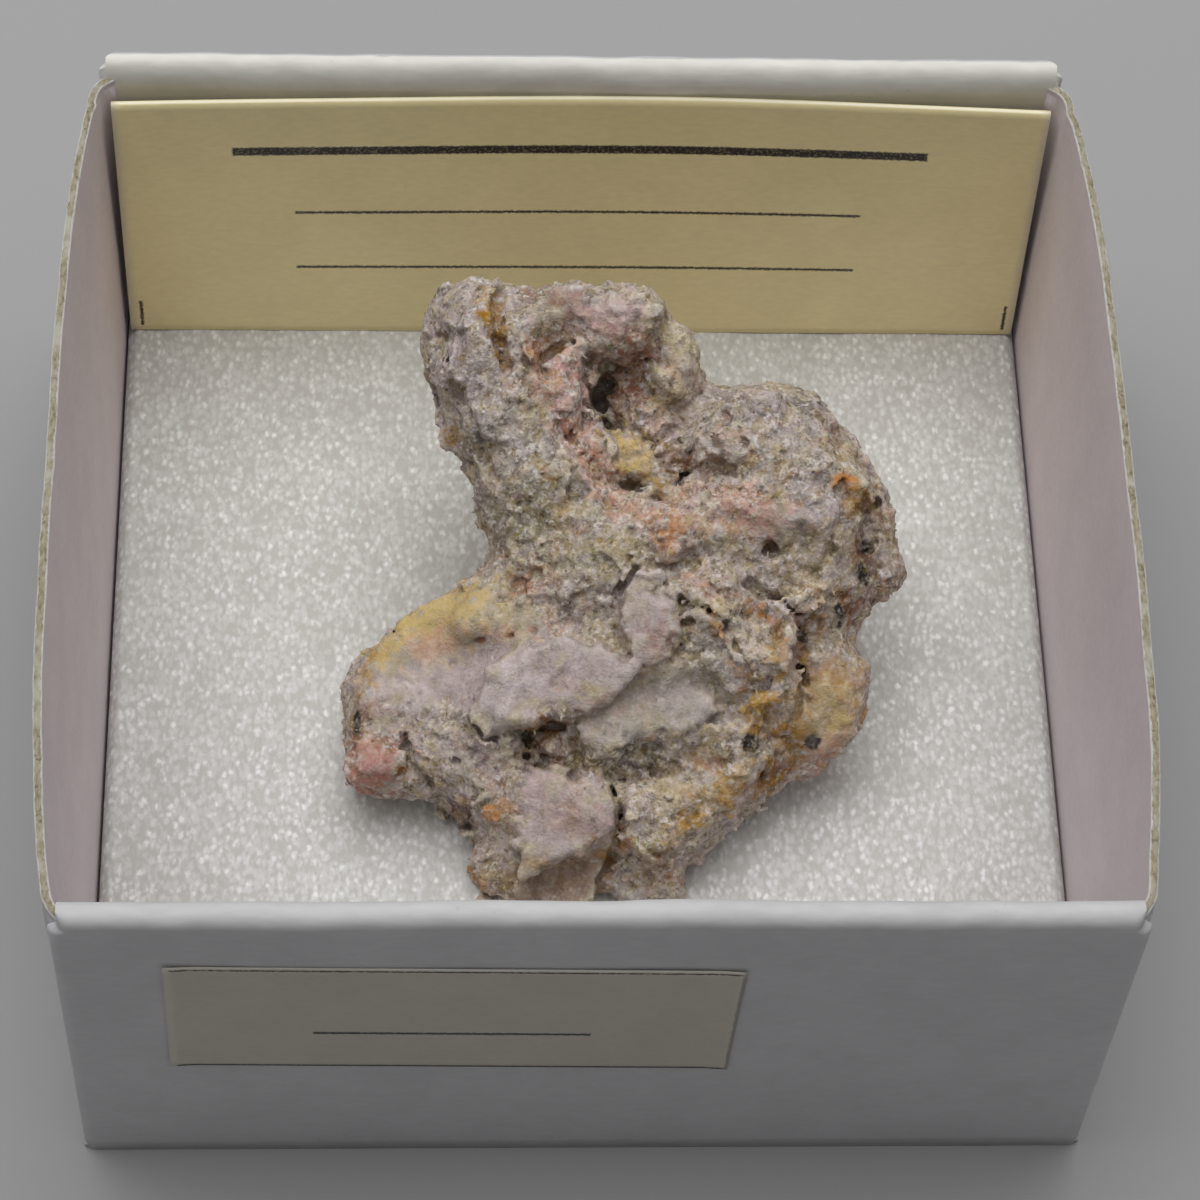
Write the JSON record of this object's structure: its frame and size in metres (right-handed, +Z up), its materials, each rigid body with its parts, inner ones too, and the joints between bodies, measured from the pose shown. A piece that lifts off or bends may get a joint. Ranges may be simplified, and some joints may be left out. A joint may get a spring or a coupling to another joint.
{
  "type": "smithsonite specimen in a card tray",
  "caption": "Rough pink, cream and grey smithsonite specimen resting on a foam pad in an open square card tray, with a blank label card and a blank sticker.",
  "frame": {"origin": "centre of the tray's underside", "axes": "+Z up, -Y towards the tray's front wall, which carries the sticker; the label leans on the +Y wall"},
  "size_m": [0.042, 0.0401, 0.02],
  "materials": {
    "white_card": "matte",
    "foam": "satin",
    "label_paper": "matte",
    "sticker_paper": "matte",
    "smithsonite": "matte"
  },
  "bodies": {
    "root": {"tray": "white_card", "foam_pad": "foam", "label_card": "label_paper", "number_sticker": "sticker_paper", "smithsonite": "smithsonite"}
  },
  "joints": []
}
